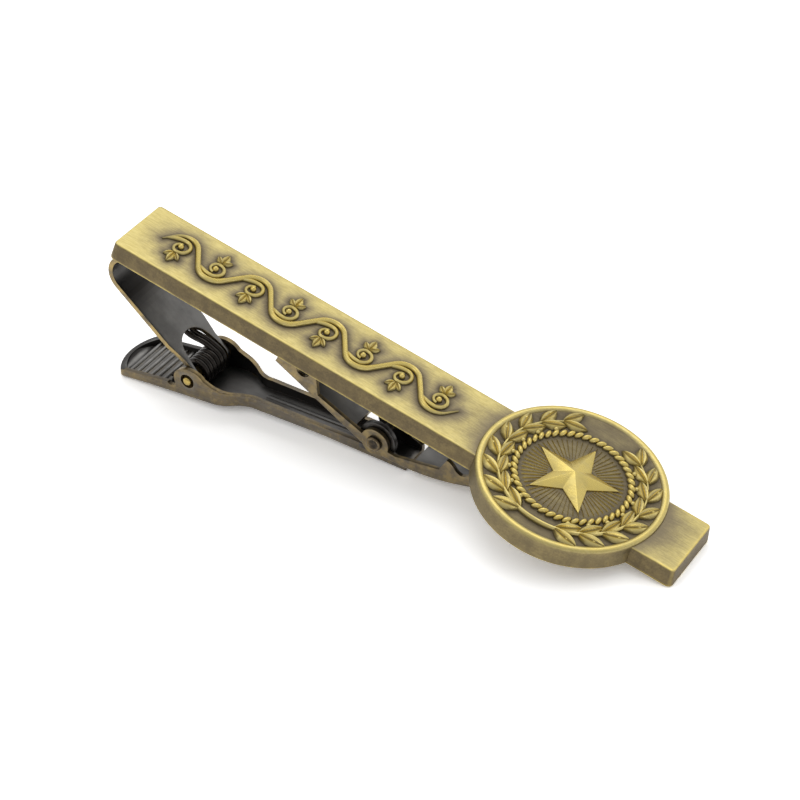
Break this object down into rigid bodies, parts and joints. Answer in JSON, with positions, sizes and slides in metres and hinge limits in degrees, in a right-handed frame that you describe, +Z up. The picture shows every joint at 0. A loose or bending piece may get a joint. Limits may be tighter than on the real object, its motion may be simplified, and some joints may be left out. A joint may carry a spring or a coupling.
{
  "type": "tie clip",
  "caption": "Tie clip: a cast antique-brass bar with a round wreath-and-star crest near one end, over a spring-loaded ribbed lever that carries a toothed rocking jaw.",
  "frame": {"origin": "on the table, under the middle of the clip as it lies with its bar upwards", "axes": "+X along the clip towards its crest end, +Y across it, +Z up"},
  "size_m": [0.0606, 0.018, 0.0163],
  "materials": {
    "cast_brass": "brushed antique brass with dark patina in the recesses",
    "bronzed_sheet": "dark bronzed sheet, worn to brass at the edges",
    "bright_pin": "bright worn brass",
    "spring_wire": "blackened spring wire",
    "bronzed_rivet": "bronzed rivet with worn head"
  },
  "bodies": {
    "bar": {"front_bar": "cast_brass", "clip_base": "bronzed_sheet", "pivot_pin": "bright_pin", "torsion_spring": "spring_wire"},
    "lever": {"lever": "bronzed_sheet", "rocker_pin": "bronzed_rivet"},
    "jaw": {"rocker_jaw": "bronzed_sheet"}
  },
  "joints": [
    {"name": "lever_pivot", "type": "hinge", "parent": "bar", "child": "lever", "pos_m": [-0.02124, 0, 0.00247], "axis": [0, 1, 0], "range_deg": [0, 22], "stiffness_Nm_per_rad": 0.006, "springref_deg": -20.05, "deforming": ["torsion_spring"]},
    {"name": "rocker_pivot", "type": "hinge", "parent": "lever", "child": "jaw", "pos_m": [-0.00084, 0, 0.00266], "axis": [0, 1, 0], "range_deg": [-22, 0]}
  ],
  "couplings": [
    {"joint": "rocker_pivot", "follows": "lever_pivot", "ratio": -1}
  ]
}
